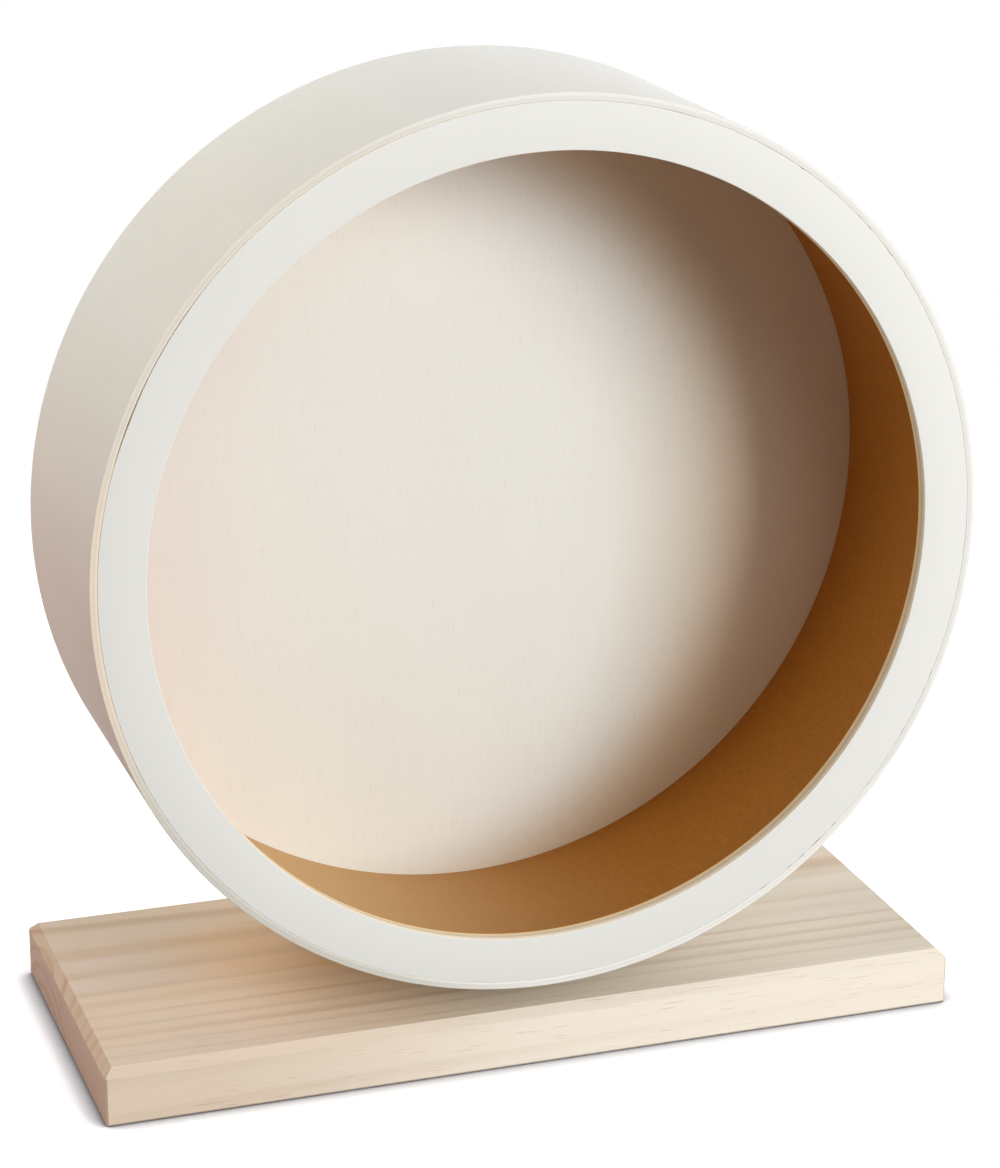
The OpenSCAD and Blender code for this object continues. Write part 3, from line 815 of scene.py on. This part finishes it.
# The crescent of painted shade starts this far from the middle of the lit part, which lies left of the axle
# and below it.
shade_crescent_start = 125
shade_crescent_full = 158
from_lit_middle = disc_sheet.vector("ADD", disc_spot, (45, 0, 14))
from_lit_middle = disc_sheet.vector("MULTIPLY", from_lit_middle, (1, 0, 1))
painted_shade_crescent = disc_sheet.vector("LENGTH", from_lit_middle, output="Value").rise(shade_crescent_start, shade_crescent_full)
painted_shade_tint = disc_sheet.mix(abs(up_disc + 5).rise(30, 100), shade(237, 222, 200), shade(232, 216, 188))
disc_face = disc_sheet.mix(across_disc.rise(-60, -130) * 0.6, shade(229, 230, 224), shade(224, 219, 217))
# Lighter near the top, as painted light where the ring's shadow falls.
disc_face = disc_sheet.mix(up_disc.rise(45, 95) * 0.8, disc_face, shade(243, 242, 234))
# Warmer towards the right, as painted warm shade.
disc_face = disc_sheet.mix(across_disc.rise(40, 120) * inner_side, disc_face, shade(240, 229, 208))
disc_face = disc_sheet.mix(painted_shade_crescent * inner_side, disc_face, painted_shade_tint)
disc_figure = 1.8 - inner_side * 0.95
disc_ply = shade(228, 210, 180)
disc_cross_ply = shade(196, 172, 138)
disc_plywood = panel(disc_sheet, disc_low.y, disc_face, disc_figure, disc_ply, disc_cross_ply, 1.33)
disc_outline = rounded([
    (0, disc_low.y, 0),
    (disc_radius, disc_low.y, disc_edge),
    (disc_radius, disc_high.y, disc_edge),
    (0, disc_high.y, 0),
])
wheel_part("disc", turned(disc_outline, 720, axle=True), disc_plywood, "panel_plywood", "back_disc")

# Hub block. A thick round of plywood, glued to the back of the disc over the bolt head, with a square hole
# for the bolt's neck. Its mesh is the CAD solid with the edges sanded round.
hub_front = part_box("hub_block")[0].y
hub_face = shade(230, 222, 206)
hub_ply = shade(228, 206, 172)
hub_cross_ply = shade(190, 160, 122)
hub_plywood = panel(Finish("hub_plywood"), hub_front, hub_face, 1.3, hub_ply, hub_cross_ply, 1.6)
hub = softened("hub", "hub_block", 0.0004)
fit(hub, hub_plywood, "wheel", "panel_plywood", "hub_block")

# Axle bolt. A coach bolt of zinc-plated steel: a low dome, a square neck that holds it still in the hub
# block, a plain shank for the bearings and a rolled thread for the nut.
bolt_low, bolt_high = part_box("axle_bolt")
dome_radius = (bolt_high.x - bolt_low.x) / 2
dome_height = 0.0036
neck_start = bolt_low.y + dome_height
neck_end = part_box("hub_washer")[0].y
shank_radius = 0.003
neck_corner = 1.34 * shank_radius
neck_blend = 0.0001
thread_pitch = 0.001
thread_length = 0.0095
thread_depth = 0.0006
end_chamfer = 0.0005
dome_bend = 0.97
dome_rows = 12


def square_neck(angle, radius, along):
    """Turns the part of the bolt that lies in the hub block square, with rounded corners."""
    if neck_start < along < neck_end and radius > 0.9 * shank_radius:
        flat = shank_radius / max(abs(math.cos(angle)), abs(math.sin(angle)))
        radius = min(flat, neck_corner)
    return radius, along


bolt_outline = []
for row in range(dome_rows + 1):
    share = row / dome_rows
    sink = (1 - math.sqrt(1 - (dome_bend * share) ** 2)) / (1 - math.sqrt(1 - dome_bend ** 2))
    bolt_outline.append((dome_radius * share, bolt_low.y + dome_height * sink * 0.9))
bolt_outline += [(dome_radius, neck_start), (shank_radius, neck_start)]
bolt_outline += [(shank_radius, neck_start + neck_blend), (shank_radius, neck_end - neck_blend)]
bolt_outline.append((shank_radius, neck_end))
row_gap = thread_pitch / rows_per_turn
for row in range(round(thread_length / row_gap)):
    bolt_outline.append((shank_radius, bolt_high.y - thread_length + row * row_gap))
bolt_outline += [(shank_radius - end_chamfer, bolt_high.y), (0, bolt_high.y)]
bolt = roller.make(
    "bolt",
    zinc,
    turned(bolt_outline, 64, square_neck),
    Grooves=1.0,
    Pitch=thread_pitch,
    Depth=thread_depth,
    Land=0.1,
    Low=bolt_high.y - thread_length,
    High=bolt_high.y + thread_pitch,
    Fade=thread_pitch,
    Count=1,
    First=(0.0, 0.0, axle_height),
    Apart=(0.0, 0.0, 0.0),
    Lean=(math.radians(-90), 0.0, 0.0),
)
fit(bolt, zinc, "wheel", "zinc_steel", "axle_bolt")

# Washer, shims and spacer. Pressed and turned rings of zinc-plated steel on the bolt. The washer bears on
# the hub block, and the narrow rings touch only the inner races. They keep their CAD meshes.


def dress(material, *nodes):
    """Gives CAD nodes that keep their own mesh a finished material."""
    for node in nodes:
        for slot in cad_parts[node].material_slots:
            slot.material = material


dress(zinc, "hub_washer", "front_shim", "race_spacer", "rear_shim")

# Ball bearings. Two small deep-groove bearings pressed into the post, one from each side. The races and
# balls are ground and polished steel, the shields are pressed sheet, and the crown cages are moulded nylon.
race_steel = metal("polished_steel", shade(198, 199, 202), 0.1, 6.0)
shield_steel = metal("shield_steel", shade(168, 170, 173), 0.28, 2.0)
nylon_plastic = Finish("nylon")
nylon_spot = nylon_plastic.spot()
nylon_cloud = nylon_plastic.noise(nylon_spot, (0.5, 0.5, 0.5), 2.0)
nylon_grain = nylon_plastic.noise(nylon_spot, (9, 9, 9), 2.0)
nylon_color = nylon_plastic.mix(nylon_cloud, shade(236, 234, 224), shade(226, 222, 206))
nylon = nylon_plastic.finish(nylon_color, 0.35 + nylon_grain * 0.2, nylon_grain, 0.00001, gloss=0.45)
dress(race_steel, "front_outer_race", "front_inner_race", "rear_outer_race", "rear_inner_race")
dress(race_steel, "front_balls", "rear_balls")
dress(shield_steel, "front_shields", "rear_shields")
dress(nylon, "front_cage", "rear_cage")

# Lock nut. A zinc-plated hexagon with a round collar rolled over a nylon ring, which grips the thread so
# that the nut can't work loose as the wheel turns.
dress(zinc, "lock_nut")
dress(nylon, "nut_insert")

# Floor, lamps and camera. A pale floor that keeps the soft shadow round the board, under a white sky. A
# broad soft lamp stands in front and to the right, a second one on the left, and weaker ones fill in from
# above, the right and behind. The camera looks from the front left, from a little above the wheel.
floor_mesh = bpy.data.meshes.new("floor")
reach = 12.0
floor_corners = [(-reach, -reach, 0), (reach, -reach, 0), (reach, reach, 0), (-reach, reach, 0)]
floor_mesh.from_pydata(floor_corners, [], [(0, 1, 2, 3)])
floor = bpy.data.objects.new("floor", floor_mesh)
bpy.context.scene.collection.objects.link(floor)


def seen(graph):
    """1 for what the camera sees, also in metal or through glass, and 0 for light on the object."""
    camera_ray = graph.node("ShaderNodeLightPath", {}, {}, "Is Camera Ray")
    glossy_ray = graph.node("ShaderNodeLightPath", {}, {}, "Is Glossy Ray")
    clear_ray = graph.node("ShaderNodeLightPath", {}, {}, "Is Transmission Ray")
    return (camera_ray + glossy_ray + clear_ray).rise(0.0, 1.0)


pale = Finish("pale_floor")
floor_bounce = pale.node("ShaderNodeBsdfDiffuse", {}, {"Color": (0.35, 0.35, 0.35, 1)})
floor_shadow = pale.node("ShaderNodeBsdfDiffuse", {}, {"Color": (0.8, 0.8, 0.76, 1)})
floor_glow = pale.node("ShaderNodeEmission", {}, {"Color": (0.95, 0.95, 1.0, 1), "Strength": 0.62})
floor_open = pale.node("ShaderNodeAddShader", {}, {0: floor_shadow, 1: floor_glow})
floor_dim = pale.node("ShaderNodeBsdfDiffuse", {}, {"Color": (0.42, 0.44, 0.5, 1)})
floor_dark = pale.node("ShaderNodeBsdfDiffuse", {}, {"Color": (0.24, 0.22, 0.23, 1)})
# Near the board the floor is darkened by occlusion as painted contact shade, more so on the left.
crack = pale.node("ShaderNodeAmbientOcclusion", {"samples": 8}, {"Distance": 0.0035}, "AO")
corner = pale.node("ShaderNodeAmbientOcclusion", {"samples": 8}, {"Distance": 0.01}, "AO")
shaded_side = pale.spot().part("X").rise(-145, -155)
halo = corner.rise(1.0, 0.5) * (0.75 + shaded_side * 0.25)
floor_near = pale.node("ShaderNodeMixShader", {}, {0: halo, 1: floor_open, 2: floor_dim})
lit = crack.rise(0.42, 0.58 + shaded_side * 0.32)
floor_near = pale.node("ShaderNodeMixShader", {}, {0: lit, 1: floor_dark, 2: floor_near})
floor_far = pale.node("ShaderNodeEmission", {}, {"Strength": 1.0})
far = pale.vector("LENGTH", pale.spot(), output="Value").rise(250, 900)
floor_white = pale.node("ShaderNodeMixShader", {}, {0: far, 1: floor_near, 2: floor_far})
floor_mix = pale.node("ShaderNodeMixShader", {}, {0: seen(pale), 1: floor_bounce, 2: floor_white})
pale.node("ShaderNodeOutputMaterial", {}, {"Surface": floor_mix})
floor_mesh.materials.append(pale.material)

world = bpy.data.worlds.new("studio")
world.use_nodes = True
bpy.context.scene.world = world
air = Graph(world.node_tree)
around = air.node("ShaderNodeBackground", {}, {"Color": (1, 0.7, 0.36, 1), "Strength": 0.065})
white = air.node("ShaderNodeBackground", {}, {"Color": (1, 1, 1, 1), "Strength": 1.0})
sky = air.node("ShaderNodeMixShader", {}, {0: seen(air), 1: around, 2: white})
air.node("ShaderNodeOutputWorld", {}, {"Surface": sky})

wheel_middle = Vector((0, 0, axle_height))


def soft_lamp(name, way, distance, across, tall, power):
    """A flat soft lamp that looks at the middle of the wheel from this way."""
    light = bpy.data.lights.new(name, "AREA")
    light.shape = "RECTANGLE"
    light.size = across
    light.size_y = tall
    light.energy = power
    lamp = bpy.data.objects.new(name, light)
    bpy.context.scene.collection.objects.link(lamp)
    lamp.location = wheel_middle + way.normalized() * distance
    lamp.rotation_mode = "QUATERNION"
    lamp.rotation_quaternion = way.to_track_quat("Z", "Y")


soft_lamp("key", Vector((0.687, -1.2, 0.25)), distance=2.4, across=1.16, tall=1.02, power=43.0)
soft_lamp("high", Vector((0.2, -1.2, 0.75)), distance=1.7, across=0.9, tall=0.7, power=4.4)
soft_lamp("left", Vector((-0.8, 0.14, 0.7)), distance=1.6, across=1.5, tall=1.2, power=19.4)
soft_lamp("right", Vector((0.7, 0.1, 0.8)), distance=1.6, across=1.5, tall=1.2, power=7.1)
soft_lamp("side", Vector((1.0, -0.9, 0.6)), distance=1.6, across=1.2, tall=1.2, power=4.8)
soft_lamp("back", Vector((0.3, 1.0, 0.25)), distance=2.0, across=1.4, tall=1.2, power=10.0)

camera_lens = bpy.data.cameras.new("camera")
picture_height = 1168
focal_pixels = 3366.9
camera_lens.sensor_width = 36.0
camera_lens.lens = camera_lens.sensor_width * focal_pixels / picture_height
camera_lens.clip_start = 0.05
camera_lens.clip_end = 60.0
camera = bpy.data.objects.new("camera", camera_lens)
bpy.context.scene.collection.objects.link(camera)
camera.location = (-0.34695, -1.0291, 0.51369)
look = Vector((0.306855, 0.897532, -0.316663))
camera_roll = math.radians(0.2693)
camera.rotation_mode = "QUATERNION"
camera.rotation_quaternion = look.to_track_quat("-Z", "Y") @ Quaternion((0, 0, 1), camera_roll)
bpy.context.scene.camera = camera
bpy.context.scene.view_settings.view_transform = "Standard"
